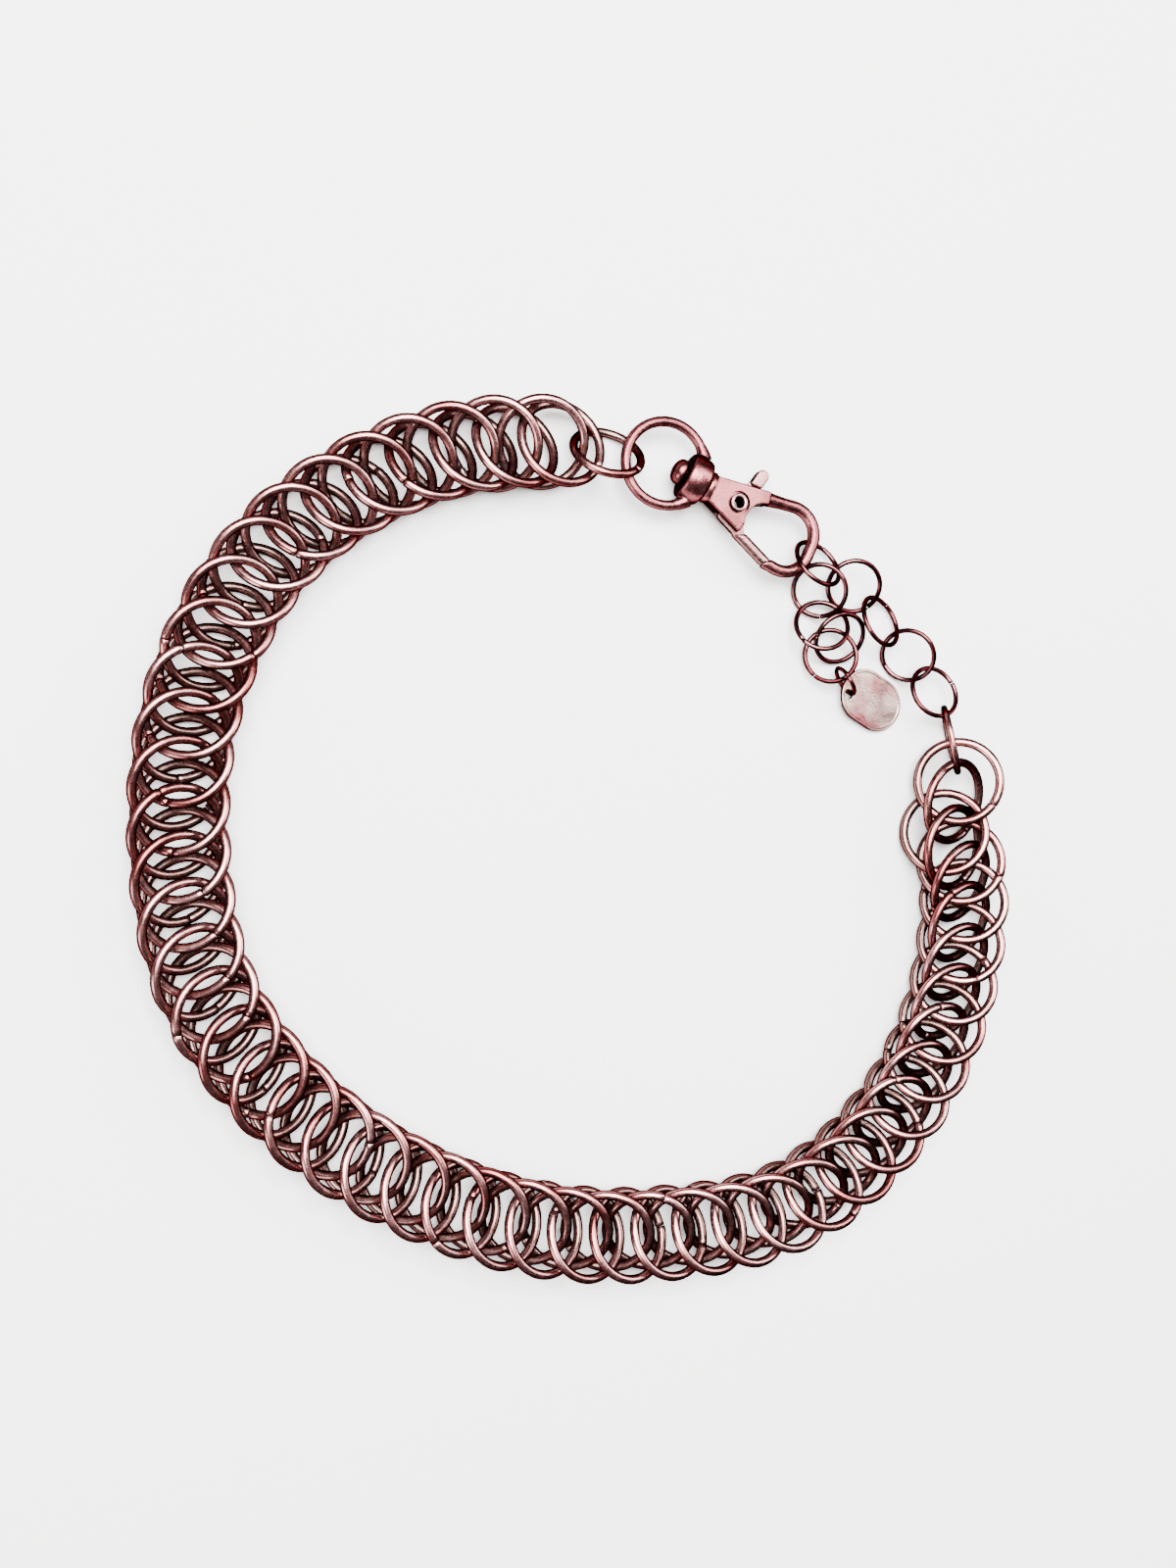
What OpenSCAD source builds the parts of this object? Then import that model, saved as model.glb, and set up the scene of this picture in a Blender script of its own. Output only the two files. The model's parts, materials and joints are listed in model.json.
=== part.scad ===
// Chainmail choker lying on a flat surface: a half Persian band of jump rings,
// closed by a swivel lobster clasp hooked into a short extension chain with a small tag.
// Millimetres, Z up. The origin is on the surface, below the middle of the whole piece.

/* [Band] */
// Bore of one jump ring of the band
ring_bore = 12.7; // [12.65:0.05:12.75]
// Wire of the band's rings
ring_wire = 1.6; // [1.4:0.05:1.6]
// How far each ring tips forwards or backwards along the band, degrees
ring_tip = 19; // [18.75:0.05:19.25]
// How far each ring rolls towards the inside or the outside, degrees
ring_roll = 21; // [20.75:0.05:21.25]
// How far ring centres sit off the band's middle line
ring_side = 0.3; // [0.1:0.05:0.3]

/* [Loop] */
// Where the first ring lies, degrees round the loop from +X
loop_start = 96.5; // [96.4:0.1:96.6]
// Where the last ring lies, degrees round the loop from +X
loop_end = 369; // [368.9:0.1:369.1]
// The loop's centre in the layout, across
loop_x = 2.2; // [2.1:0.1:2.3]
// The loop's centre in the layout, up
loop_y = -9.7; // [-9.8:0.1:-9.6]

/* [Swivel clasp] */
// Centre of the clasp's eye in the layout, across
eye_x = 13.3; // [13.2:0.1:13.4]
// Centre of the clasp's eye in the layout, up
eye_y = 54.2; // [54.1:0.1:54.3]
// Height of the clasp's stem above the surface
eye_z = 4.3; // [4.2:0.05:4.4]
// Direction of the clasp's stem, degrees from +X
clasp_heading = -25; // [-25.2:0.1:-24.8]
// Outer diameter of the eye
eye_outer = 16; // [15.9:0.05:16.1]
// Wire of the eye
eye_wire = 1.8; // [1.6:0.1:1.8]
// Diameter of the eye's collar
collar_d = 8.2; // [7.8:0.1:8.2]
// Diameter of the stem that the eye turns on
stem_d = 2.6; // [2.2:0.1:2.6]
// Thickness of the hook's flat body
body_t = 3.2; // [3:0.1:3.4]
// Wire of the hook's arm
arm_d = 2.2; // [2:0.1:2.2]
// Diameter of the gate
gate_d = 2.1; // [1.9:0.1:2.1]

/* [Extension chain] */
// Outer diameter of an extension link
link_outer = 10.1; // [10.05:0.05:10.15]
// Wire of an extension link
link_wire = 0.9; // [0.8:0.05:0.9]
// Outer diameter of the ring between the band and the clasp's eye
clasp_link_outer = 13.2; // [13.15:0.05:13.25]
// Wire of the ring between the band and the clasp's eye
clasp_link_wire = 1.5; // [1.3:0.05:1.5]
// Outer diameter of the ring between the band and the extension chain
end_link_outer = 12.8; // [12.75:0.05:12.85]
// Wire of the ring between the band and the extension chain
end_link_wire = 1.2; // [1:0.05:1.2]

/* [Tag] */
// Length of the tag
tag_l = 12.9; // [12.8:0.05:12.95]
// Width of the tag
tag_w = 9.5; // [9.3:0.05:9.55]
// Thickness of the tag
tag_t = 0.8; // [0.6:0.1:0.8]
// Diameter of the tag's hole
tag_hole_d = 1.9; // [1.85:0.05:2]
// Outer diameter of the tag's ring
tag_link_outer = 6; // [5.95:0.05:6.05]
// Wire of the tag's ring
tag_link_wire = 0.8; // [0.6:0.05:0.8]

/* [Hidden] */
bright = [0.80, 0.77, 0.77];
satin = [0.72, 0.69, 0.70];

// The middle of the whole piece in the layout, which becomes the origin
mid_x = 1.915;
mid_y = -9.71;

// Number of rings in the band
ring_count = 90;

// The band's middle line, as its distance from the loop's centre
// columns: degrees round the loop, distance
loop_outline = [
    [80, 64.5], [100, 66.9], [120, 69.4], [140, 71], [160, 70], [180, 68.3],
    [200, 67.7], [220, 65.1], [240, 63.5], [260, 64.2], [280, 66.9], [300, 72],
    [320, 72.7], [340, 70.7], [360, 67.2], [380, 68]];
outline_step = 20;
path_step = 0.5;

// The band's first rings are pulled a little out of the even weave
// columns: across, up, height of the centre, direction it leans to, lean
start_ring_poses = [
    [-5.18, 56.31, 4.87, 60.1, 18.2],
    [-8.32, 56.38, 4.02, -103, 24.8],
    [-12.82, 55.59, 4.2, 56.3, 26.2],
    [-16.33, 55.52, 4.29, -127.2, 28.3]];

// The band's last rings hang loosely, and one of them has slipped out to the inside
// with the same columns
end_ring_poses = [
    [70.43, -21.08, 4.32, 146.1, 29.2],
    [69.61, -17.51, 4.5, -40.8, 30.9],
    [69.69, -13.99, 4.45, 161.9, 26.2],
    [68.14, -11.37, 4.58, -18.6, 23.3],
    [66.43, -8.7, 4.41, 159, 30.1],
    [68.55, -3.14, 3.98, -29.2, 24.6],
    [68.29, 0.4, 6.04, 168.9, 30.3]];

// Where the other loose rings lie in the layout, with the same columns
clasp_link_pose = [2.83, 55.23, 4.78, 85.5, 42.5];
end_link_pose = [66.9, 7.86, 5.76, 13.4, 61.9];
tag_link_pose = [47.5, 18.17, 3.06, 31, 84.6];
link_poses = [
    [64.2, 16.45, 4.75, 69.5, 20.3],
    [59.5, 22.95, 3.7, 210.6, 44.1],
    [54.15, 28.9, 3.5, 37.1, 33.1],
    [48.8, 34.85, 3.75, 238.2, 27.1],
    [41.65, 38.55, 4.15, 59.1, 36.6],
    [42.45, 33.95, 3.2, 211.1, 36.2],
    [42.7, 27.8, 3.55, 114.2, 24.7],
    [46.27, 25.71, 3.27, -81.5, 29.6],
    [44.93, 22.62, 2.44, 159.2, 13.8]];

// The tag: its far end rests on the surface, its hole is lifted by the ring below it
// columns: across, up, direction from the tag's middle to its lifted end, lift in degrees
tag_pose = [53.36, 14.98, 152, 8];

// The tag's hole, from its middle, along it and across it
tag_hole_at = [4.8, 1.4];

// Parts of the clasp, along the stem from the eye's centre
collar_from = 3.8;
collar_to = 7.7;
collar_edge = 0.5;
head_from = 1.6;
head_d = 3.9;
head_gap = 0.3;
neck_from = 7.95;
neck_to = 9.1;
neck_d = 6.2;
stem_gap = 0.06;

// The hook, in the clasp's own plane with the stem along +X
rivet_at = [14.2, -0.2];
rivet_d = 2.5;
rivet_bore = 1.7;
rivet_head_d = 3.6;
rivet_head_t = 0.35;
rivet_seat_gap = 0.02;
lever_bore_gap = 0.05;
arm_slope = 13.2;
arm_run = 7.7;
bend_at = [25.1, -0.2];
bend_r = 4.8;
arm_step = 0.04;
arm_lap = 0.25;
return_at = [25.3, -2.3];
return_r = 4.6;
return_run = 3;
web_at = [20.1, -1.5];
web_r = 3.7;
slot_t = 1.4;
lever_t = 1;
hub_d = 4.2;
gate_root = [16.2, -4.54];
gate_slope = -18.1;
gate_from_rivet = 5.5;
gate_to_rivet = 11.16;
tip_from_rivet = 11.4;
thumb_at = [16.1, 6.1];
thumb_foot = 4.4;
thumb_w = 2.3;
thumb_t = 2.2;
dome_h = 1;

// Outlines of the flat pieces, in the clasp's own plane
hook_outline = [
    [8.9, 2.2], [16.2, 3.78], [18.9, 4.4], [19.3, 2.1], [20.1, -1.5],
    [16.7, -3.2], [16.4, -4.7], [8.9, -2.35]];
slot_outline = [[11.6, 6], [11.6, -6], [21, -6], [21, -0.5], [17.7, 1], [17.7, 6]];
thumb_web_outline = [[12.7, 1.2], [15.1, 4.6], [17.1, 4.6], [16.2, 0.4]];
gate_web_outline = [
    [12.2, -0.8], [12, -3.9], [16.6, -5.5], [19, -6.3], [19.5, -4.8], [17.5, -4.1],
    [15.9, -1.2]];
round_fn = 48;

// Half Persian rings lean both along and across the band, so this is how high they stand
ring_outer = ring_bore + 2 * ring_wire;
ring_r = (ring_outer - ring_wire) / 2;
ring_rise = ring_r * sqrt(pow(sin(ring_tip), 2) + pow(sin(ring_roll) * cos(ring_tip), 2));
ring_z = ring_rise + ring_wire / 2;

// A smooth curve through the outline's rows
function outline_row(k) = loop_outline[max(0, min(k, len(loop_outline) - 1))][1];
function smooth(a, b, c, d, t) =
    0.5 * (2 * b + (c - a) * t + (2 * a - 5 * b + 4 * c - d) * t * t
    + (3 * b - a - 3 * c + d) * t * t * t);
function loop_radius(angle) =
    let (steps = (angle - loop_outline[0][0]) / outline_step, k = floor(steps))
    smooth(outline_row(k - 1), outline_row(k), outline_row(k + 1), outline_row(k + 2), steps - k);
function loop_point(angle) =
    [loop_x + loop_radius(angle) * cos(angle), loop_y + loop_radius(angle) * sin(angle)];

// Length along the middle line, to set the rings at even steps
path_angles = [for (angle = [loop_start : path_step : loop_end]) angle];
path_points = [for (angle = path_angles) loop_point(angle)];
path_runs = [for (i = 0, run = 0; i < len(path_points);
    run = run + norm(path_points[min(i + 1, len(path_points) - 1)] - path_points[i]), i = i + 1) run];
path_table = [for (i = [0 : len(path_points) - 1]) [path_runs[i], path_angles[i]]];
path_length = path_runs[len(path_runs) - 1];
ring_step = path_length / (ring_count - 1);

module ring(outer, wire) {
    rotate_extrude($fn = 64)
        translate([(outer - wire) / 2, 0])
            circle(d = wire, $fn = 20);
}

// One ring of the even weave: even rings tip forwards, odd rings backwards
module band_ring(i) {
    side = i % 2 == 0 ? 1 : -1;
    angle = lookup(i * ring_step, path_table);
    at = loop_point(angle);
    along = loop_point(angle + path_step) - loop_point(angle - path_step);
    translate([at.x, at.y, ring_z])
        rotate([0, 0, atan2(along.y, along.x)])
            translate([0, side * ring_side, 0])
                rotate([0, -side * ring_tip, 0])
                    rotate([side * ring_roll, 0, 0])
                        ring(ring_outer, ring_wire);
}

module loose_ring(pose, outer, wire) {
    translate([pose[0], pose[1], pose[2]])
        rotate([0, pose[4], pose[3]])
            ring(outer, wire);
}

module in_layout() {
    translate([-mid_x, -mid_y, 0])
        children();
}

module in_clasp() {
    in_layout()
        translate([eye_x, eye_y, eye_z])
            rotate([0, 0, clasp_heading])
                children();
}

// A round bar along the stem between two places
module stem_bar(from, to, d) {
    translate([from, 0, 0])
        rotate([0, 90, 0])
            cylinder(h = to - from, d = d, $fn = round_fn);
}

// A round bar in the hook's plane
module plane_bar(at, heading, run, d) {
    translate([at.x, at.y, 0])
        rotate([0, 0, heading])
            rotate([0, 90, 0])
                cylinder(h = run, d = d, $fn = round_fn);
}

// A bent round bar in the hook's plane, clockwise from one direction to another
module plane_bend(at, r, from, to, d) {
    translate([at.x, at.y, 0])
        rotate([0, 0, to])
            rotate_extrude(angle = from - to, $fn = 2 * round_fn)
                translate([r, 0])
                    circle(d = d, $fn = 24);
}

// A round column about the rivet's axis
module rivet_column(r, h) {
    translate([rivet_at.x, rivet_at.y, -h / 2])
        cylinder(h = h, r = r, $fn = 2 * round_fn);
}

module plate(t, outline) {
    translate([0, 0, -t / 2])
        linear_extrude(t)
            polygon(outline);
}

module band() {
    color(bright)
        in_layout() {
            for (i = [len(start_ring_poses) : ring_count - len(end_ring_poses) - 1])
                band_ring(i);
            for (pose = concat(start_ring_poses, end_ring_poses))
                loose_ring(pose, ring_outer, ring_wire);
        }
}

module swivel_eye() {
    color(satin)
        in_clasp()
            difference() {
                union() {
                    ring(eye_outer, eye_wire);
                    rotate([0, 90, 0])
                        rotate_extrude($fn = 2 * round_fn)
                            polygon([
                                [0, collar_from], [collar_d / 2 - collar_edge, collar_from],
                                [collar_d / 2, collar_from + collar_edge],
                                [collar_d / 2, collar_to - collar_edge],
                                [collar_d / 2 - collar_edge, collar_to], [0, collar_to]]);
                }
                translate([collar_to, -collar_d, -collar_d])
                    cube([collar_d, 2 * collar_d, 2 * collar_d]);
                stem_bar(collar_from - 1, collar_to + 1, stem_d + 2 * stem_gap);
            }
}

// The stem's domed head, inside the eye
module stem_head() {
    dome_r = (head_d * head_d / 4 + dome_h * dome_h) / (2 * dome_h);
    intersection() {
        translate([head_from + dome_r, 0, 0])
            sphere(r = dome_r, $fn = 2 * round_fn);
        stem_bar(head_from - 1, collar_from - head_gap, head_d);
    }
}

module hook_plate() {
    difference() {
        plate(body_t, hook_outline);
        translate([web_at.x, web_at.y, -body_t])
            cylinder(h = 2 * body_t, r = web_r, $fn = 2 * round_fn);
    }
}

// The arm's straight runs are a hair thinner than its bends and lap into them
module hook_arm() {
    arm_start = bend_at + bend_r * [cos(90 + arm_slope), sin(90 + arm_slope)]
        - arm_run * [cos(arm_slope), sin(arm_slope)];
    straight_d = arm_d - arm_step;
    plane_bar(arm_start, arm_slope, arm_run + arm_lap, straight_d);
    plane_bend(bend_at, bend_r, 90 + arm_slope, 0, arm_d);
    plane_bar(bend_at + [bend_r, arm_lap], -90, bend_at.y - return_at.y + 2 * arm_lap, straight_d);
    plane_bend(return_at, return_r, 0, -90, arm_d);
    plane_bar(return_at - [-arm_lap, return_r], 180, return_run, straight_d);
}

// Clears the end of the arm for the gate's swing
module gate_way() {
    intersection() {
        rivet_column(tip_from_rivet, 2 * body_t);
        translate([20, -10, -body_t])
            cube([6, 4.4, 2 * body_t]);
    }
}

module hook_body() {
    color(satin)
        in_clasp() {
            difference() {
                union() {
                    hook_plate();
                    difference() {
                        hook_arm();
                        gate_way();
                    }
                }
                plate(slot_t, slot_outline);
                rivet_column(rivet_d / 2 + rivet_seat_gap, 2 * body_t);
            }
            stem_bar(neck_from, neck_to, neck_d);
            stem_bar(head_from + dome_h, neck_to, stem_d);
            stem_head();
        }
}

module lever_rivet() {
    color(bright)
        in_clasp()
            difference() {
                union() {
                    rivet_column(rivet_d / 2, body_t);
                    for (face = [-1, 1])
                        translate([0, 0, face * (body_t + rivet_head_t) / 2])
                            rivet_column(rivet_head_d / 2, rivet_head_t);
                }
                rivet_column(rivet_bore / 2, 2 * body_t);
            }
}

// The round part of the gate, outside the body
module gate() {
    difference() {
        intersection() {
            plane_bar(gate_root, gate_slope, gate_to_rivet, gate_d);
            rivet_column(gate_to_rivet, 2 * body_t);
        }
        rivet_column(gate_from_rivet, 2 * body_t);
    }
}

// The thumb piece outside the body, with a round end
module thumb() {
    translate([thumb_at.x, thumb_at.y, -thumb_t / 2])
        cylinder(h = thumb_t, d = thumb_w, $fn = round_fn);
    translate([thumb_at.x - thumb_w / 2, thumb_foot, -thumb_t / 2])
        cube([thumb_w, thumb_at.y - thumb_foot, thumb_t]);
}

module clasp_lever() {
    color(satin)
        in_clasp()
            difference() {
                union() {
                    rivet_column(hub_d / 2, lever_t);
                    plate(lever_t, thumb_web_outline);
                    plate(lever_t, gate_web_outline);
                    thumb();
                    gate();
                }
                rivet_column(rivet_d / 2 + lever_bore_gap, 2 * body_t);
            }
}

module tag() {
    tag_reach = tag_l / 2;
    color(bright)
        in_layout()
            translate([tag_pose[0], tag_pose[1],
                tag_reach * sin(tag_pose[3]) + tag_t / 2 * cos(tag_pose[3])])
                rotate([0, -tag_pose[3], tag_pose[2]])
                    translate([0, 0, -tag_t / 2])
                        linear_extrude(tag_t)
                            difference() {
                                tag_outline();
                                translate(tag_hole_at)
                                    circle(d = tag_hole_d, $fn = round_fn);
                            }
}

module tag_outline() {
    half_run = (tag_l - tag_w) / 2;
    for (end = [-1, 1])
        translate([end * half_run, 0])
            circle(d = tag_w, $fn = 2 * round_fn);
    square([2 * half_run, tag_w], center = true);
}

module clasp_link() {
    color(bright) in_layout() loose_ring(clasp_link_pose, clasp_link_outer, clasp_link_wire);
}

module end_link() {
    color(bright) in_layout() loose_ring(end_link_pose, end_link_outer, end_link_wire);
}

module tag_link() {
    color(bright) in_layout() loose_ring(tag_link_pose, tag_link_outer, tag_link_wire);
}

module extension_link(k) {
    color(bright) in_layout() loose_ring(link_poses[k - 1], link_outer, link_wire);
}

band();
clasp_link();
swivel_eye();
hook_body();
lever_rivet();
clasp_lever();
end_link();
extension_link(1);  // link_01
extension_link(2);  // link_02
extension_link(3);  // link_03
extension_link(4);  // link_04
extension_link(5);  // link_05
extension_link(6);  // link_06
extension_link(7);  // link_07
extension_link(8);  // link_08
extension_link(9);  // link_09
tag_link();
tag();
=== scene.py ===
import json
import math
import random

import bpy
import numpy as np
from bpy.props import FloatProperty, FloatVectorProperty, PointerProperty
from mathutils import Matrix, Vector


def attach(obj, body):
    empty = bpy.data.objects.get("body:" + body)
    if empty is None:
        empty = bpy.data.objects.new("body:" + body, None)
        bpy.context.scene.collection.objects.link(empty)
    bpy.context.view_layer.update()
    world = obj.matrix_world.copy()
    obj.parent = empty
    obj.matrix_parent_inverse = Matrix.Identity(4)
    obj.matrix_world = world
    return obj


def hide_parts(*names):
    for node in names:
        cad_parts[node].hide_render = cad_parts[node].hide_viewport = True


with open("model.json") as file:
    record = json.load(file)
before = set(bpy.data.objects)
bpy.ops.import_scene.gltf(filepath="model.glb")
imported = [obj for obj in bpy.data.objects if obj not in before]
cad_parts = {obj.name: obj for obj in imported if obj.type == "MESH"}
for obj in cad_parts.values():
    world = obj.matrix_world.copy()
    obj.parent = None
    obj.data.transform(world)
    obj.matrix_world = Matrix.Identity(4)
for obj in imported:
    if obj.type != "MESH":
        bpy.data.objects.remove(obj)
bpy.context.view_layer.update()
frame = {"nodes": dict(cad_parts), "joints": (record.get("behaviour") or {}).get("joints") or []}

bl_info = {
    "name": "Chainmail choker",
    "version": (1, 0, 0),
    "blender": (4, 5, 0),
    "location": "View3D > Sidebar > Choker",
    "description": "Models the rings, swivel clasp, extension chain and tag of a chainmail choker",
    "category": "Mesh",
}

MM = 0.001
JOINTS = {joint["name"]: joint for joint in frame["joints"]}
LINK_NODES = ["link_%02d" % number for number in range(1, 10)]

# The photograph was taken from its left side, a little off straight down
CAMERA_TILT = math.radians(17)
CAMERA_DISTANCE = 0.250
CAMERA_AIM = Vector((-0.001915, 0.00971, 0.003))
FOCAL_PIXELS = 1525
PHOTO_WIDTH_PIXELS = 1200
SENSOR_WIDTH = 36.0

# Name, place in metres, size in metres, watts and tint; each points at the choker's middle
LIGHTS = (
    ("key", (-0.12, 0.22, 0.75), 0.62, 39.0, (1.0, 0.985, 0.975)),
    ("fill", (0.60, 0.15, 0.40), 0.30, 5.2, (1.0, 0.97, 0.97)),
    ("side", (0.42, 0.36, 0.68), 0.30, 5.0, (1.0, 0.97, 0.97)),
    ("low", (-0.55, -0.35, 0.25), 0.25, 3.0, (1.0, 0.95, 0.95)),
)

# The clasp is modelled in millimetres with its stem along X and its eye's centre at the origin
STEM = JOINTS["eye_swivel"]
STEM_HEADING = math.atan2(STEM["axis"][1], STEM["axis"][0])
CLASP_PLACE = (
    Matrix.Translation(Vector(STEM["pos_m"]))
    @ Matrix.Rotation(STEM_HEADING, 4, "Z")
    @ Matrix.Scale(MM, 4)
)
RIVET = (CLASP_PLACE.inverted() @ Vector(JOINTS["lever_pivot"]["pos_m"])).xy


class RingSizes(bpy.types.PropertyGroup):
    seam: FloatProperty(
        name="Closing cut", description="Width of the cut where a jump ring closes",
        default=0.00009, min=0.0, max=0.0005, subtype="DISTANCE", unit="LENGTH")
    misfit: FloatProperty(
        name="Closing misfit", description="How far a ring's two ends miss each other",
        default=0.00014, min=0.0, max=0.0005, subtype="DISTANCE", unit="LENGTH")
    sway: FloatProperty(
        name="Sway", description="How far a ring turns at random out of the even weave",
        default=math.radians(0.4), min=0.0, max=math.radians(3), subtype="ANGLE", unit="ROTATION")


class ClaspSizes(bpy.types.PropertyGroup):
    eye_radius: FloatProperty(
        name="Eye radius", description="From the eye's centre to the middle of its wire",
        default=0.0071, subtype="DISTANCE", unit="LENGTH")
    eye_wire: FloatProperty(
        name="Eye wire", description="Thickness of the eye's wire",
        default=0.0018, subtype="DISTANCE", unit="LENGTH")
    arm_wire: FloatProperty(
        name="Arm", description="Thickness of the hook's arm",
        default=0.0022, subtype="DISTANCE", unit="LENGTH")
    grain: FloatProperty(
        name="Casting grain", description="Cell size that the cast pieces are blended with",
        default=0.00012, subtype="DISTANCE", unit="LENGTH")


class Finishes(bpy.types.PropertyGroup):
    wire_colour: FloatVectorProperty(
        name="Wire", description="Colour of the band's wire",
        default=(0.58, 0.278, 0.27), min=0, max=1, subtype="COLOR")
    wire_shade: FloatVectorProperty(
        name="Wire shade", description="Colour of the wire where it is duller",
        default=(0.26, 0.072, 0.068), min=0, max=1, subtype="COLOR")
    # Painted shade: surfaces darken to this colour as they turn away from the camera, and the
    # metals' reflections are edged with it; the chain also takes it as its duller tone.
    painted_rim_shade_and_tone: FloatVectorProperty(
        name="Turned away", description="Colour where a surface turns away from the eye",
        default=(0.042, 0.006, 0.008), min=0, max=1, subtype="COLOR")
    # Painted shade: the wire and clasp run towards this colour low down near the floor, where they
    # lie in shade.
    painted_low_shade: FloatVectorProperty(
        name="Low wire", description="Colour of the wire near the surface it lies on",
        default=(0.170, 0.112, 0.096), min=0, max=1, subtype="COLOR")
    cast_colour: FloatVectorProperty(
        name="Casting", description="Colour of the clasp",
        default=(0.29, 0.092, 0.097), min=0, max=1, subtype="COLOR")
    lever_colour: FloatVectorProperty(
        name="Lever", description="Colour of the clasp's lever",
        default=(0.39, 0.215, 0.205), min=0, max=1, subtype="COLOR")
    chain_colour: FloatVectorProperty(
        name="Chain", description="Colour of the extension chain",
        default=(0.19, 0.08, 0.083), min=0, max=1, subtype="COLOR")
    cast_shade: FloatVectorProperty(
        name="Casting shade", description="Colour of the clasp where it is duller",
        default=(0.175, 0.052, 0.057), min=0, max=1, subtype="COLOR")
    tag_colour: FloatVectorProperty(
        name="Tag", description="Colour of the tag",
        default=(0.70, 0.52, 0.45), min=0, max=1, subtype="COLOR")
    tag_shade: FloatVectorProperty(
        name="Tag shade", description="Colour of the tag where it is rosier",
        default=(0.38, 0.12, 0.13), min=0, max=1, subtype="COLOR")
    floor_colour: FloatVectorProperty(
        name="Floor", description="Colour of the floor",
        default=(0.93, 0.92, 0.915), min=0, max=1, subtype="COLOR")


# Helpers that work as a hand would in the window

def deselect():
    if bpy.context.mode != "OBJECT":
        bpy.ops.object.mode_set(mode="OBJECT")
    bpy.ops.object.select_all(action="DESELECT")


def pick(*objects):
    deselect()
    for thing in objects:
        thing.select_set(True)
    bpy.context.view_layer.objects.active = objects[0]


def apply_place(thing):
    pick(thing)
    bpy.ops.object.transform_apply(location=True, rotation=True, scale=True)
    return thing


def joined(name, parts):
    pick(*parts)
    if len(parts) > 1:
        bpy.ops.object.join()
    thing = bpy.context.object
    thing.name = name
    thing.data.name = name
    return thing


def apply_modifier(thing, kind, **settings):
    pick(thing)
    modifier = thing.modifiers.new(kind.title(), kind)
    for key, value in settings.items():
        setattr(modifier, key, value)
    bpy.ops.object.modifier_apply(modifier=modifier.name)


def cut(thing, cutter):
    apply_modifier(thing, "BOOLEAN", operation="DIFFERENCE", solver="EXACT", object=cutter)
    bpy.data.objects.remove(cutter)


def smooth(thing, angle=math.radians(40)):
    pick(thing)
    bpy.ops.object.shade_smooth_by_angle(angle=angle)


def select_faces(thing, wanted):
    """Selects the faces that pass a test and leaves the piece in edit mode."""
    bpy.ops.object.mode_set(mode="EDIT")
    bpy.ops.mesh.select_all(action="DESELECT")
    bpy.ops.object.mode_set(mode="OBJECT")
    for face in thing.data.polygons:
        face.select = wanted(face)
    bpy.ops.object.mode_set(mode="EDIT")


def settle(thing, place, material, body, slot, *nodes):
    """Puts a finished piece in place, gives it its metal, parents it to its body's empty and hides
    the CAD nodes it stands for.
    """
    if not thing.data.polygons:
        raise RuntimeError(thing.name + " came out without faces")
    thing.data.transform(place)
    thing.data.update()
    thing.data.materials.clear()
    thing.data.materials.append(material)
    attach(thing, body)
    if nodes:
        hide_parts(*nodes)
    return thing


# Rings

def jump_ring(radius, wire, seam, misfit, around=56, across=16):
    """One jump ring in metres, flat about the origin, with its closing cut at +X."""
    deselect()
    bpy.ops.mesh.primitive_circle_add(
        vertices=across, radius=wire / 2, location=(radius, 0, 0), rotation=(math.pi / 2, 0, 0))
    ring = apply_place(bpy.context.object)
    opening = seam / radius
    bpy.ops.object.mode_set(mode="EDIT")
    bpy.ops.mesh.select_all(action="SELECT")
    bpy.ops.mesh.spin(
        steps=around, angle=2 * math.pi - opening, center=(0, 0, 0), axis=(0, 0, 1))
    bpy.ops.mesh.select_all(action="SELECT")
    bpy.ops.mesh.fill_holes(sides=0)
    bpy.ops.mesh.select_all(action="DESELECT")
    bpy.ops.mesh.select_face_by_sides(number=4, type="GREATER")
    bpy.ops.mesh.bevel(offset=wire * 0.07, segments=1, affect="EDGES")
    bpy.ops.mesh.select_all(action="SELECT")
    bpy.ops.mesh.normals_make_consistent(inside=False)
    bpy.ops.object.mode_set(mode="OBJECT")
    for vertex in ring.data.vertices:
        turn = (math.atan2(vertex.co.y, vertex.co.x) - opening / 2) % (2 * math.pi)
        near_end = abs(turn / math.pi - 1) ** 6
        vertex.co.z += math.copysign(misfit / 2, turn - math.pi) * near_end
    bpy.ops.object.shade_smooth_by_angle(angle=math.radians(50))
    return ring


def circle_of(mesh_points):
    """Centre and axis of a ring's points."""
    centre = mesh_points.mean(0)
    spread = np.linalg.svd(mesh_points - centre, full_matrices=False)[2]
    axis = Vector(spread[2])
    if axis.z < 0:
        axis.negate()
    return Vector(centre), axis


def ring_place(centre, axis, cut_angle, sway=0.0, chance=None):
    """Where a ring goes, with its cut turned to an angle about its own axis."""
    turn = axis.to_track_quat("Z", "Y").to_matrix().to_4x4()
    if chance:
        turn = (
            Matrix.Rotation(chance.uniform(-sway, sway), 4, "X")
            @ Matrix.Rotation(chance.uniform(-sway, sway), 4, "Y")
            @ turn
        )
    return Matrix.Translation(centre) @ turn @ Matrix.Rotation(cut_angle, 4, "Z")


def solids_of(node):
    """The points of each loose solid of a CAD node."""
    deselect()
    copy = frame["nodes"][node].copy()
    copy.data = copy.data.copy()
    copy.parent = None
    bpy.context.scene.collection.objects.link(copy)
    pick(copy)
    bpy.ops.object.mode_set(mode="EDIT")
    bpy.ops.mesh.select_all(action="SELECT")
    bpy.ops.mesh.remove_doubles(threshold=0.000001)
    bpy.ops.mesh.separate(type="LOOSE")
    bpy.ops.object.mode_set(mode="OBJECT")
    pieces = list(bpy.context.selected_objects)
    found = []
    for piece in pieces:
        points = np.zeros(len(piece.data.vertices) * 3)
        piece.data.vertices.foreach_get("co", points)
        found.append(points.reshape(-1, 3))
        bpy.data.objects.remove(piece)
    return found


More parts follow.
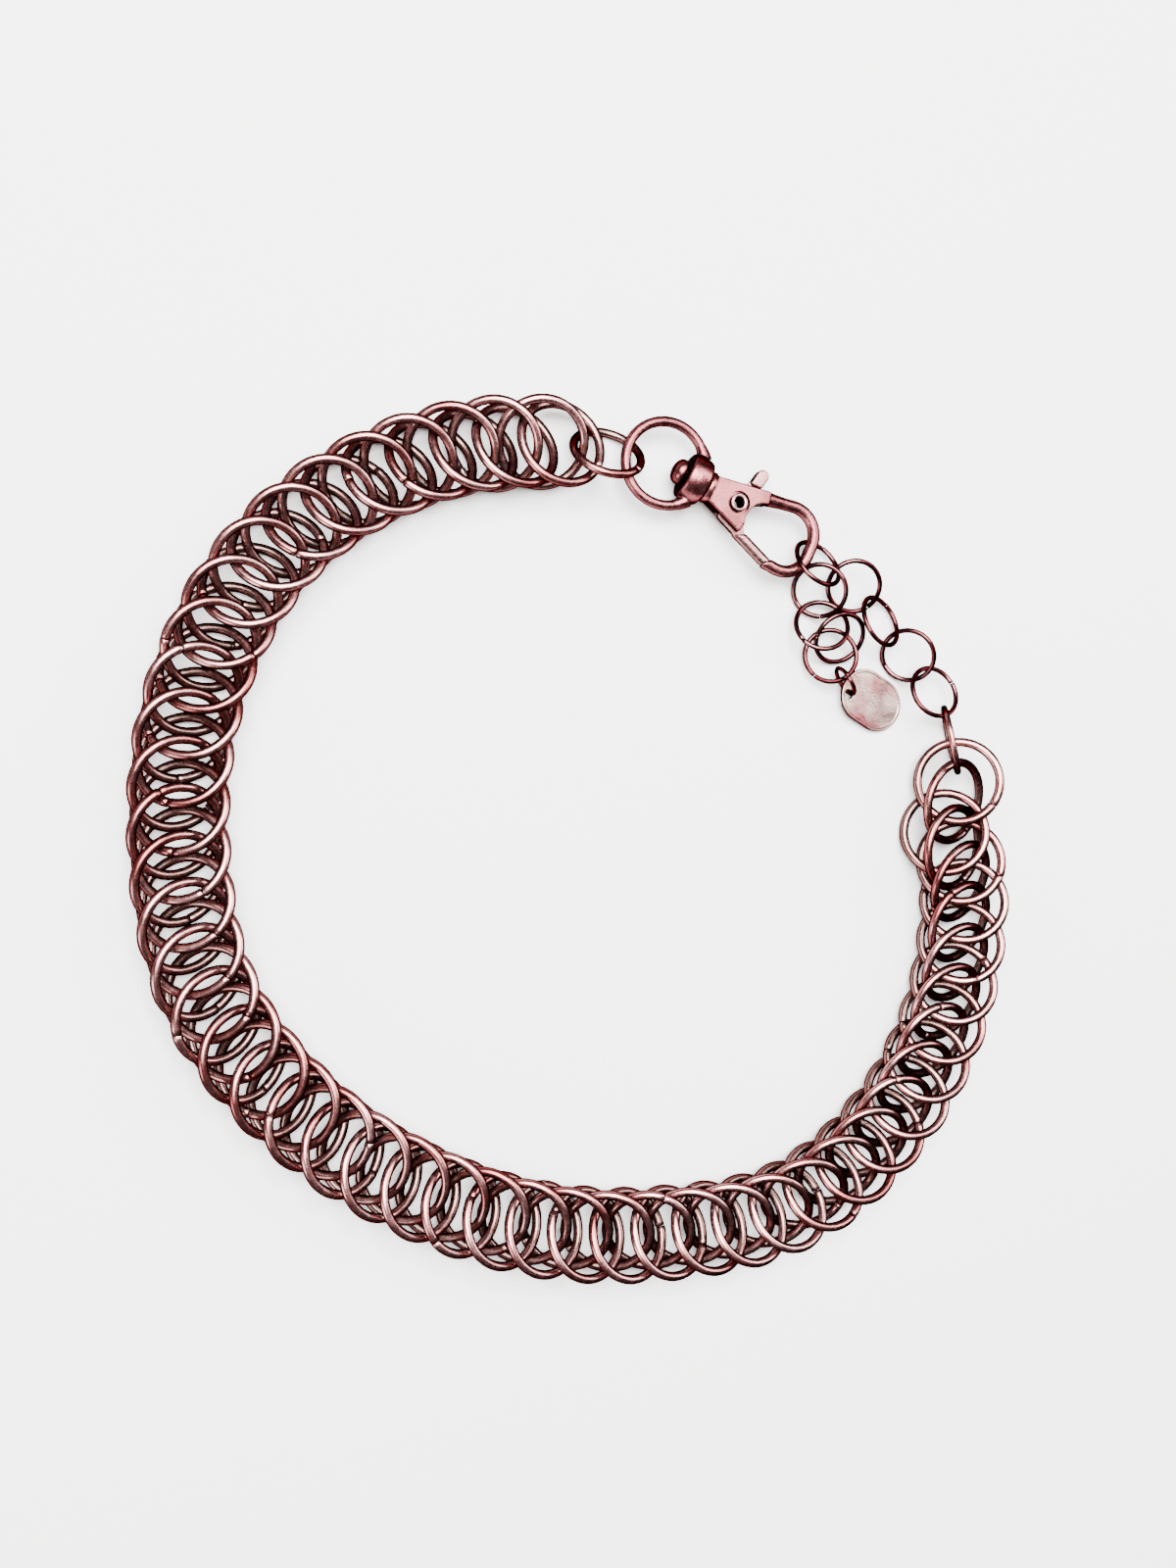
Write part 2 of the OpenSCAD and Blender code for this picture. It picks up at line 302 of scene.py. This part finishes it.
def loose_ring(name, node, material, slot, cut_angle, around=56, across=14):
    """A jump ring in place of one CAD ring."""
    sizes = bpy.context.scene.choker_rings
    points = solids_of(node)[0]
    centre, axis = circle_of(points)
    reach = np.linalg.norm(points - np.array(centre), axis=1)
    wire = reach.max() - reach.min()
    radius = (reach.max() + reach.min()) / 2
    ring = jump_ring(radius, wire, sizes.seam, sizes.misfit * 0.7, around, across)
    ring.name = name
    return settle(ring, ring_place(centre, axis, cut_angle), material, "root", slot, node)


# Metals

def noise(nodes, links, coordinates, scale, detail, roughness=0.5):
    texture = nodes.new("ShaderNodeTexNoise")
    texture.inputs["Scale"].default_value = scale
    texture.inputs["Detail"].default_value = detail
    texture.inputs["Roughness"].default_value = roughness
    links.new(coordinates.outputs["Object"], texture.inputs["Vector"])
    return texture


def ramp(nodes, links, source, stops):
    """Colours along a value, as (position, colour) pairs."""
    blend = nodes.new("ShaderNodeValToRGB")
    knots = blend.color_ramp.elements
    while len(knots) < len(stops):
        knots.new(0.5)
    for knot, (position, colour) in zip(knots, stops):
        knot.position = position
        knot.color = (*colour, 1)
    links.new(source, blend.inputs["Fac"])
    return blend


def blended(nodes, links, share, base, colour):
    """A colour socket that runs from base to one colour as the share grows."""
    mix = nodes.new("ShaderNodeMix")
    mix.data_type = "RGBA"
    inputs = {socket.name: socket for socket in mix.inputs if socket.enabled}
    links.new(share, inputs["Factor"])
    links.new(base, inputs["A"])
    inputs["B"].default_value = (*colour, 1)
    return next(socket for socket in mix.outputs if socket.enabled)


def metal(name, colour, shade, roughness, bump, rim_shade_range, shade_below=None,
          tone_scale=90, grain_scale=2600):
    """A worn metal: tones that change slowly, rubbed patches, a little relief, and painted shade
    that darkens its rims and, where asked, its low parts.

    roughness is a pair: where it is rubbed bright, and where it is dull. rim_shade_range gives how
    far a surface turns away from the camera before the painted shade starts to darken it, and where
    it is fully dark. shade_below gives two heights in metres between which the painted shade on low
    parts clears to the full colour.
    """
    if name in bpy.data.materials:
        return bpy.data.materials[name]
    look = bpy.context.scene.choker_finishes
    material = bpy.data.materials.new(name)
    material.use_nodes = True
    nodes = material.node_tree.nodes
    links = material.node_tree.links
    shader = nodes["Principled BSDF"]
    shader.inputs["Metallic"].default_value = 1.0
    # Painted shade: the reflections are tinted at their edges with the dark turned-away colour.
    shader.inputs["Specular Tint"].default_value = (*look.painted_rim_shade_and_tone, 1)
    coordinates = nodes.new("ShaderNodeTexCoord")

    tone = noise(nodes, links, coordinates, tone_scale, 4)
    tones = ramp(nodes, links, tone.outputs["Fac"], [(0.36, shade), (0.60, colour)])
    # Painted shade: the colour darkens towards the turned-away colour as the surface turns away from
    # the camera.
    facing = nodes.new("ShaderNodeLayerWeight")
    facing.inputs["Blend"].default_value = 0.5
    turned = nodes.new("ShaderNodeMapRange")
    turned.interpolation_type = "SMOOTHSTEP"
    turned.inputs["From Min"].default_value = rim_shade_range[0]
    turned.inputs["From Max"].default_value = rim_shade_range[1]
    links.new(facing.outputs["Facing"], turned.inputs["Value"])
    base = tones.outputs["Color"]
    # Painted shade: below the given heights the colour runs towards the low shade colour, darker
    # towards the floor.
    if shade_below:
        split = nodes.new("ShaderNodeSeparateXYZ")
        links.new(coordinates.outputs["Object"], split.inputs["Vector"])
        depth = nodes.new("ShaderNodeMapRange")
        depth.interpolation_type = "SMOOTHSTEP"
        depth.inputs["From Min"].default_value = shade_below[0]
        depth.inputs["From Max"].default_value = shade_below[1]
        depth.inputs["To Min"].default_value = 0.9
        depth.inputs["To Max"].default_value = 0.0
        links.new(split.outputs["Z"], depth.inputs["Value"])
        base = blended(nodes, links, depth.outputs["Result"], base, look.painted_low_shade)
    base = blended(nodes, links, turned.outputs["Result"], base, look.painted_rim_shade_and_tone)
    links.new(base, shader.inputs["Base Color"])

    rub = noise(nodes, links, coordinates, grain_scale / 3, 6, 0.65)
    rub_range = nodes.new("ShaderNodeMapRange")
    rub_range.inputs["From Min"].default_value = 0.3
    rub_range.inputs["From Max"].default_value = 0.72
    rub_range.inputs["To Min"].default_value = roughness[0]
    rub_range.inputs["To Max"].default_value = roughness[1]
    links.new(rub.outputs["Fac"], rub_range.inputs["Value"])
    links.new(rub_range.outputs["Result"], shader.inputs["Roughness"])

    grain = noise(nodes, links, coordinates, grain_scale, 3)
    relief = nodes.new("ShaderNodeBump")
    relief.inputs["Strength"].default_value = bump
    relief.inputs["Distance"].default_value = 0.00006
    links.new(grain.outputs["Fac"], relief.inputs["Height"])
    links.new(relief.outputs["Normal"], shader.inputs["Normal"])
    return material


def wire_metal():
    look = bpy.context.scene.choker_finishes
    return metal(
        "worn_wire_painted_shade", look.wire_colour, look.wire_shade, roughness=(0.20, 0.33), bump=0.12,
        # Painted shade: dark rims where the wire turns from the camera, and darker low down near the
        # floor.
        rim_shade_range=(0.02, 0.44), shade_below=(0.001, 0.0068))


def chain_metal():
    look = bpy.context.scene.choker_finishes
    return metal(
        # Painted shade: dark rims where the chain turns from the camera; its duller tone is the same
        # dark colour.
        "worn_chain_painted_shade", look.chain_colour, look.painted_rim_shade_and_tone, roughness=(0.10, 0.22), bump=0.15,
        rim_shade_range=(0.0, 0.24))


def cast_metal():
    look = bpy.context.scene.choker_finishes
    return metal(
        "satin_casting_painted_shade", look.cast_colour, look.cast_shade, roughness=(0.18, 0.38), bump=0.6,
        # Painted shade: dark rims, and the clasp's low sides darker towards the floor.
        rim_shade_range=(0.06, 0.60), shade_below=(0.003, 0.0052), tone_scale=160, grain_scale=3400)


def lever_metal():
    look = bpy.context.scene.choker_finishes
    return metal(
        "satin_lever_painted_shade", look.lever_colour, look.cast_shade, roughness=(0.20, 0.38), bump=0.5,
        # Painted shade: dark rims, and the lever's low parts darker towards the floor.
        rim_shade_range=(0.06, 0.60), shade_below=(0.0042, 0.0053), tone_scale=160, grain_scale=3400)


def tag_metal():
    look = bpy.context.scene.choker_finishes
    return metal(
        "rubbed_tag_painted_shade", look.tag_colour, look.tag_shade, roughness=(0.24, 0.46), bump=0.8,
        # Painted shade: a dark outline where the tag's rounded rim turns from the camera.
        rim_shade_range=(0.06, 0.36), tone_scale=210, grain_scale=2000)


# Clasp shapes, in millimetres in the clasp's own frame

def bar(start, end, radius, sides=48, soft=0.0):
    """A round bar between two points, with softened rims."""
    start, end = Vector(start), Vector(end)
    along = end - start
    deselect()
    bpy.ops.mesh.primitive_cylinder_add(
        vertices=sides, radius=radius, depth=along.length, location=(start + end) / 2,
        rotation=along.to_track_quat("Z", "Y").to_euler())
    thing = apply_place(bpy.context.object)
    if soft:
        apply_modifier(thing, "BEVEL", width=soft, segments=3, limit_method="ANGLE",
                       angle_limit=math.radians(50))
    return thing


def slab(outline, thickness, soft=0.0):
    """A flat piece with the given outline, its rims rounded over."""
    deselect()
    bpy.ops.mesh.primitive_circle_add(vertices=len(outline), radius=1, fill_type="NGON")
    thing = bpy.context.object
    for vertex, (x, y) in zip(thing.data.vertices, outline):
        vertex.co = (x, y, -thickness / 2)
    bpy.ops.object.mode_set(mode="EDIT")
    bpy.ops.mesh.select_all(action="SELECT")
    bpy.ops.mesh.extrude_region_move(TRANSFORM_OT_translate={"value": (0, 0, thickness)})
    bpy.ops.mesh.select_all(action="SELECT")
    bpy.ops.mesh.normals_make_consistent(inside=False)
    bpy.ops.object.mode_set(mode="OBJECT")
    if soft:
        apply_modifier(thing, "BEVEL", width=soft, segments=3, limit_method="ANGLE",
                       angle_limit=math.radians(50))
    return thing


def swept_wire(points, radius, sides=24):
    """A round wire along a smooth run of points."""
    deselect()
    bpy.ops.curve.primitive_nurbs_path_add()
    thing = bpy.context.object
    curve = thing.data
    curve.splines.clear()
    run = curve.splines.new("POLY")
    run.points.add(len(points) - 1)
    for knot, (x, y) in zip(run.points, points):
        knot.co = (x, y, 0, 1)
    curve.dimensions = "3D"
    curve.bevel_depth = radius
    curve.bevel_resolution = sides // 4
    curve.use_fill_caps = True
    bpy.ops.object.convert(target="MESH")
    thing = apply_place(bpy.context.object)
    bpy.ops.object.mode_set(mode="EDIT")
    bpy.ops.mesh.select_all(action="SELECT")
    bpy.ops.mesh.remove_doubles(threshold=0.0001)
    bpy.ops.mesh.normals_make_consistent(inside=False)
    bpy.ops.object.mode_set(mode="OBJECT")
    return thing


def arc(centre, radius, start, end, steps):
    """Points round a circle from one angle to another, in degrees."""
    turns = [math.radians(start + (end - start) * step / steps) for step in range(steps + 1)]
    return [(centre[0] + radius * math.cos(turn), centre[1] + radius * math.sin(turn))
            for turn in turns]


def cast(thing, rounds=8):
    """Melts joined pieces into one casting with soft corners."""
    grain = bpy.context.scene.choker_clasp.grain / MM
    apply_modifier(thing, "REMESH", mode="VOXEL", voxel_size=grain, adaptivity=0.0)
    apply_modifier(thing, "SMOOTH", factor=0.5, iterations=rounds)
    pick(thing)
    bpy.ops.object.shade_smooth()
    return thing


def taper(start, end, start_radius, end_radius):
    """A round bar that grows from one radius to another."""
    start, end = Vector(start), Vector(end)
    along = end - start
    deselect()
    bpy.ops.mesh.primitive_cone_add(
        vertices=48, radius1=start_radius, radius2=end_radius, depth=along.length,
        location=(start + end) / 2, rotation=along.to_track_quat("Z", "Y").to_euler())
    return apply_place(bpy.context.object)


def lathe(profile, steps=96):
    """A turned shape: (height, radius) pairs spun about Z."""
    deselect()
    bpy.ops.mesh.primitive_circle_add(vertices=len(profile), radius=1)
    thing = bpy.context.object
    for vertex, (height, radius) in zip(thing.data.vertices, profile):
        vertex.co = (radius, 0, height)
    bpy.ops.object.mode_set(mode="EDIT")
    bpy.ops.mesh.select_all(action="SELECT")
    bpy.ops.mesh.spin(steps=steps, angle=2 * math.pi, center=(0, 0, 0), axis=(0, 0, 1))
    bpy.ops.mesh.select_all(action="SELECT")
    bpy.ops.mesh.remove_doubles(threshold=0.0005)
    bpy.ops.mesh.normals_make_consistent(inside=False)
    bpy.ops.object.mode_set(mode="OBJECT")
    return thing


# The eye's collar and the stem's head, as (height along the stem, radius)
COLLAR = [
    (3.8, 1.5), (3.8, 3.6), (3.9, 3.86), (4.15, 4.0), (4.8, 4.1), (5.75, 4.16), (6.7, 4.1),
    (7.3, 3.95), (7.58, 3.75), (7.7, 3.4), (7.7, 1.5)]
HEAD = [
    (1.5, 0), (1.54, 0.8), (1.75, 1.5), (2.2, 2.02), (2.75, 2.25), (3.25, 2.25), (3.5, 2.05),
    (3.55, 1.2), (3.55, 0)]
STEM_TO_X = Matrix.Rotation(math.pi / 2, 4, "Y")

# The hook's flat body, and the slot in it that the lever turns in
PLATE = [
    (8.9, 2.2), (16.2, 3.78), (18.9, 4.4), (19.3, 2.1), (20.1, -1.5), (16.7, -3.2),
    (16.4, -4.7), (8.9, -2.35)]
PLATE_THICKNESS = 3.2
THROAT = (20.1, -1.5)
THROAT_RADIUS = 3.7
SLOT = [(11.6, 6), (11.6, -6), (21, -6), (21, -0.5), (17.7, 1), (17.7, 6)]
SLOT_THICKNESS = 1.4

# Round the rivet
HOOK_BORE_RADIUS = 1.27
LEVER_BORE_RADIUS = 1.3
RECESS_RADIUS = 2.0
RECESS_FLOOR = 0.88
RIVET_FLANGE = [
    (1.2, 1.24), (1.25, 1.5), (1.7, 1.56), (1.86, 1.48), (1.93, 1.34), (1.93, 1.16), (1.85, 1.0),
    (1.65, 0.92)]

# The gate runs from its root on the lever; its end and the hook's tip meet on an arc about the rivet
GATE_ROOT = (16.2, -4.54)
GATE_LEAN = math.radians(-18.1)
GATE_RADIUS = 1.05
GATE_REACH = 11.2
TIP_REACH = 11.24


def upright(place, half_height):
    """Both ends of an upright bar through a place in the clasp's plane."""
    return (*place, -half_height), (*place, half_height)


def model_eye():
    sizes = bpy.context.scene.choker_clasp
    radius = sizes.eye_radius / MM
    wire = sizes.eye_wire / MM / 2
    deselect()
    bpy.ops.mesh.primitive_torus_add(
        major_radius=radius, minor_radius=wire, major_segments=128, minor_segments=24)
    parts = [bpy.context.object]
    deselect()
    bpy.ops.mesh.primitive_cube_add(size=20, location=(17.0, 0, 0))
    cut(parts[0], bpy.context.object)
    collar = lathe(COLLAR)
    collar.data.transform(STEM_TO_X)
    parts.append(collar)
    # The eye's wire swells where it runs into the collar
    for side in (-1, 1):
        places = arc((0, 0), radius, side * 54, side * 32, 3)
        for step, (start, end) in enumerate(zip(places, places[1:])):
            thin, thick = wire * (0.97 + 0.17 * step), wire * (1.14 + 0.17 * step)
            parts.append(taper((*start, 0), (*end, 0), thin, thick))
    return cast(joined("clasp_eye", parts), 6)


def model_hook():
    """The plate, the round arm and the arm's root, still as separate shapes."""
    sizes = bpy.context.scene.choker_clasp
    plate = slab(PLATE, PLATE_THICKNESS, 0.3)
    cut(plate, bar(*upright(THROAT, 4), THROAT_RADIUS, 96))
    route = [(16.5, 2.71)]
    route += arc((25.1, -0.2), 4.8, 103.2, 0, 24)
    route += arc((25.3, -2.3), 4.6, 0, -90, 22)
    route += [(24.4, -6.9), (22.8, -6.9)]
    arm = swept_wire(route, sizes.arm_wire / MM / 2)
    cut(arm, slab(arc(RIVET, TIP_REACH, -55, -20, 36) + arc(RIVET, 7, -20, -55, 6), 4))
    root = taper((15.6, 2.5, 0), (21.6, 3.91, 0), 1.55, 1.1)
    return [plate, arm, root]


def model_lever():
    """The hub on the rivet, with its webs, the round gate and the thumb pad."""
    hub = bar(*upright(RIVET, 0.5), 2.1, 64)
    thumb_web = slab([(12.7, 1.2), (15.1, 4.6), (17.1, 4.6), (16.2, 0.4)], 1.0)
    gate_web = slab([(12.2, -0.8), (12, -3.9), (16.6, -5.5), (19, -6.3), (19.5, -4.8),
                     (17.5, -4.1), (15.9, -1.2)], 1.0)
    x, y = GATE_ROOT
    past_tip = (x + 9 * math.cos(GATE_LEAN), y + 9 * math.sin(GATE_LEAN), 0)
    gate = bar((x, y, 0), past_tip, GATE_RADIUS)
    reach = bar(*upright(RIVET, 4), GATE_REACH, 256)
    apply_modifier(gate, "BOOLEAN", operation="INTERSECT", solver="EXACT", object=reach)
    bpy.data.objects.remove(reach)
    cut(gate, bar(*upright(RIVET, 4), 5.5, 128))
    pad = slab([(17.1, 4.0), (17.55, 6.1)] + arc((16.45, 6.25), 1.1, 5, 175, 12)
               + [(15.3, 6.1), (14.9, 4.0)], 2.2, 0.3)
    lever = joined("clasp_lever_piece", [hub, thumb_web, gate_web, gate, pad])
    cast(lever, 4)
    cut(lever, bar(*upright(RIVET, 4), LEVER_BORE_RADIUS, 64))
    return lever


def model_rivet():
    """The hollow rivet, with a rolled flange at each face."""
    half = [(0, 1.24)] + RIVET_FLANGE + [(0, 0.9)]
    profile = half + [(-height, radius) for height, radius in reversed(RIVET_FLANGE)]
    rivet = lathe(profile, 64)
    rivet.name = "clasp_rivet"
    rivet.data.transform(Matrix.Translation((*RIVET, 0)))
    smooth(rivet)
    return rivet


class CHOKER_OT_band(bpy.types.Operator):
    """Models the chainmail band: one jump ring, copied to each ring of the weave"""
    bl_idname = "choker.band"
    bl_label = "Chainmail band"

    def execute(self, context):
        sizes = context.scene.choker_rings
        chance = random.Random(11)
        rings = []
        model = None
        for points in solids_of("band"):
            centre, axis = circle_of(points)
            if model is None:
                reach = np.linalg.norm(points - np.array(centre), axis=1)
                wire = reach.max() - reach.min()
                model = jump_ring((reach.max() + reach.min()) / 2, wire, sizes.seam, sizes.misfit)
            ring = model.copy()
            ring.data = model.data.copy()
            context.scene.collection.objects.link(ring)
            place = ring_place(
                centre, axis, chance.uniform(0, 2 * math.pi), sizes.sway, chance)
            ring.data.transform(place)
            lowest = min(vertex.co.z for vertex in ring.data.vertices)
            ring.data.transform(Matrix.Translation((0, 0, max(0, -lowest))))
            rings.append(ring)
        bpy.data.objects.remove(model)
        band = joined("band_rings", rings)
        settle(band, Matrix.Identity(4), wire_metal(), "root", "band_wire", "band")
        return {"FINISHED"}


class CHOKER_OT_chain(bpy.types.Operator):
    """Models the extension chain's rings and the rings at both ends of the band"""
    bl_idname = "choker.chain"
    bl_label = "Extension chain"

    def execute(self, context):
        loose_ring("clasp_ring", "clasp_link", wire_metal(), "chain_wire", 2.4)
        loose_ring("band_end_ring", "end_link", wire_metal(), "chain_wire", 4.0)
        chance = random.Random(5)
        for node in LINK_NODES:
            name = "extension_" + node
            loose_ring(name, node, chain_metal(), "chain_wire", chance.uniform(0, 2 * math.pi))
        loose_ring("tag_ring", "tag_link", chain_metal(), "chain_wire", 1.2, 48, 12)
        return {"FINISHED"}


class CHOKER_OT_eye(bpy.types.Operator):
    """Models the clasp's eye with the collar that turns on the stem"""
    bl_idname = "choker.eye"
    bl_label = "Clasp eye"

    def execute(self, context):
        eye = model_eye()
        settle(eye, CLASP_PLACE, cast_metal(), "eye", "clasp_metal", "swivel_eye")
        return {"FINISHED"}


class CHOKER_OT_hook(bpy.types.Operator):
    """Models the hook: flat body, round arm, neck and the stem with its domed head"""
    bl_idname = "choker.hook"
    bl_label = "Clasp hook"

    def execute(self, context):
        pieces = model_hook()
        for piece in pieces:
            cut(piece, slab(SLOT, SLOT_THICKNESS))
        neck = bar((7.98, 0, 0), (9.1, 0, 0), 2.8, 64, 0.3)
        stem = bar((3.0, 0, 0), (8.5, 0, 0), 1.3)
        head = lathe(HEAD, 64)
        head.data.transform(STEM_TO_X)
        hook = cast(joined("clasp_hook", pieces + [neck, stem, head]))
        cut(hook, bar(*upright(RIVET, 3), HOOK_BORE_RADIUS, 64))
        for face in (-1, 1):
            floor, above = (*RIVET, RECESS_FLOOR * face), (*RIVET, 2.5 * face)
            cut(hook, bar(floor, above, RECESS_RADIUS, 96))
        smooth(hook)
        settle(hook, CLASP_PLACE, cast_metal(), "root", "clasp_metal", "hook_body")
        return {"FINISHED"}


class CHOKER_OT_lever(bpy.types.Operator):
    """Models the lever with its thumb piece and gate, and the hollow rivet it turns on"""
    bl_idname = "choker.lever"
    bl_label = "Clasp lever"

    def execute(self, context):
        settle(model_lever(), CLASP_PLACE, lever_metal(), "lever", "lever_metal", "clasp_lever")
        settle(model_rivet(), CLASP_PLACE, lever_metal(), "root", "rivet_metal", "lever_rivet")
        return {"FINISHED"}


# The tag lies turned in the plane, lifted a little at the end with its hole
TAG_HEADING = math.radians(152)
TAG_LIFT = math.radians(8)


def model_tag():
    """The oblong tag, flat at the origin in millimetres: a plain face with a soft raised rim."""
    half_run, radius, thickness = 1.70, 4.75, 0.8
    outline = arc((half_run, 0), radius, -90, 90, 48) + arc((-half_run, 0), radius, 90, 270, 48)
    tag = slab(outline, thickness)
    pick(tag)
    for side, sink in ((1, -0.1), (-1, 0.1)):
        select_faces(tag, lambda face: len(face.vertices) > 8 and face.normal.z * side > 0.9)
        bpy.ops.mesh.inset(thickness=0.16)
        bpy.ops.mesh.inset(thickness=0.28)
        bpy.ops.mesh.inset(thickness=0.12, depth=sink * side)
    bpy.ops.mesh.select_all(action="SELECT")
    bpy.ops.mesh.normals_make_consistent(inside=False)
    bpy.ops.object.mode_set(mode="OBJECT")
    apply_modifier(tag, "BEVEL", width=0.15, segments=4, limit_method="ANGLE",
                   angle_limit=math.radians(60))
    hole, hole_radius = (4.8, 1.4), 0.95
    cut(tag, bar(*upright(hole, 2), hole_radius, 48))
    tag.name = "plain_tag"
    smooth(tag, math.radians(22))
    return tag


def tag_place():
    """Where the CAD tag lies, turned and lifted as it is."""
    points = solids_of("tag")[0]
    middle = (points.max(0) + points.min(0)) / 2
    turn = Matrix.Rotation(TAG_HEADING, 4, "Z") @ Matrix.Rotation(-TAG_LIFT, 4, "Y")
    return Matrix.Translation(middle) @ turn @ Matrix.Scale(MM, 4)


class CHOKER_OT_tag(bpy.types.Operator):
    """Models the small plain tag"""
    bl_idname = "choker.tag"
    bl_label = "Tag"

    def execute(self, context):
        settle(model_tag(), tag_place(), tag_metal(), "root", "tag_plate", "tag")
        return {"FINISHED"}


class CHOKER_OT_stage(bpy.types.Operator):
    """Lays the floor and sets the lights and the camera"""
    bl_idname = "choker.stage"
    bl_label = "Floor, lights and camera"

    def execute(self, context):
        scene = context.scene
        deselect()
        bpy.ops.mesh.primitive_plane_add(size=3.0, location=(0, 0, 0))
        floor = context.object
        floor.name = "floor"
        paint = bpy.data.materials.new("floor_paper")
        paint.use_nodes = True
        shader = paint.node_tree.nodes["Principled BSDF"]
        shader.inputs["Base Color"].default_value = (*scene.choker_finishes.floor_colour, 1)
        shader.inputs["Roughness"].default_value = 0.85
        floor.data.materials.append(paint)

        world = bpy.data.worlds.new("studio")
        world.use_nodes = True
        back = world.node_tree.nodes["Background"]
        back.inputs["Color"].default_value = (0.80, 0.74, 0.76, 1)
        back.inputs["Strength"].default_value = 0.10
        scene.world = world

        for name, place, size, power, tint in LIGHTS:
            deselect()
            bpy.ops.object.light_add(type="AREA", location=place)
            lamp = context.object
            lamp.name = name
            lamp.data.size = size
            lamp.data.energy = power
            lamp.data.color = tint
            toward_middle = Vector((0, 0, 0)) - Vector(place)
            lamp.rotation_euler = toward_middle.to_track_quat("-Z", "Y").to_euler()

        right = Vector((math.cos(CAMERA_TILT), 0, math.sin(CAMERA_TILT)))
        up = Vector((0, 1, 0))
        backward = Vector((-math.sin(CAMERA_TILT), 0, math.cos(CAMERA_TILT)))
        place = CAMERA_AIM + CAMERA_DISTANCE * backward
        deselect()
        bpy.ops.object.camera_add(location=place)
        camera = context.object
        camera.name = "camera"
        turn = Matrix((right, up, backward)).transposed().to_4x4()
        camera.matrix_world = Matrix.Translation(place) @ turn
        camera.data.sensor_fit = "HORIZONTAL"
        camera.data.sensor_width = SENSOR_WIDTH
        camera.data.lens = SENSOR_WIDTH * FOCAL_PIXELS / PHOTO_WIDTH_PIXELS
        camera.data.clip_start = 0.01
        scene.camera = camera
        return {"FINISHED"}


class CHOKER_PT_panel(bpy.types.Panel):
    """Lists the choker's pieces"""
    bl_label = "Chainmail choker"
    bl_idname = "CHOKER_PT_panel"
    bl_space_type = "VIEW_3D"
    bl_region_type = "UI"
    bl_category = "Choker"

    def draw(self, context):
        for group in (context.scene.choker_rings, context.scene.choker_clasp,
                      context.scene.choker_finishes):
            for key in group.__annotations__:
                self.layout.prop(group, key)
        for operator in OPERATORS:
            self.layout.operator(operator.bl_idname)


GROUPS = (
    ("choker_rings", RingSizes),
    ("choker_clasp", ClaspSizes),
    ("choker_finishes", Finishes),
)
OPERATORS = (
    CHOKER_OT_stage, CHOKER_OT_band, CHOKER_OT_chain, CHOKER_OT_eye, CHOKER_OT_hook,
    CHOKER_OT_lever, CHOKER_OT_tag,
)


def register():
    for name, group in GROUPS:
        bpy.utils.register_class(group)
        setattr(bpy.types.Scene, name, PointerProperty(type=group))
    for operator in OPERATORS:
        bpy.utils.register_class(operator)
    bpy.utils.register_class(CHOKER_PT_panel)


def unregister():
    bpy.utils.unregister_class(CHOKER_PT_panel)
    for operator in reversed(OPERATORS):
        bpy.utils.unregister_class(operator)
    for name, group in reversed(GROUPS):
        delattr(bpy.types.Scene, name)
        bpy.utils.unregister_class(group)


def main():
    register()
    bpy.ops.choker.stage()
    bpy.ops.choker.band()
    bpy.ops.choker.chain()
    bpy.ops.choker.eye()
    bpy.ops.choker.hook()
    bpy.ops.choker.lever()
    bpy.ops.choker.tag()
    deselect()


if __name__ == "__main__":
    main()
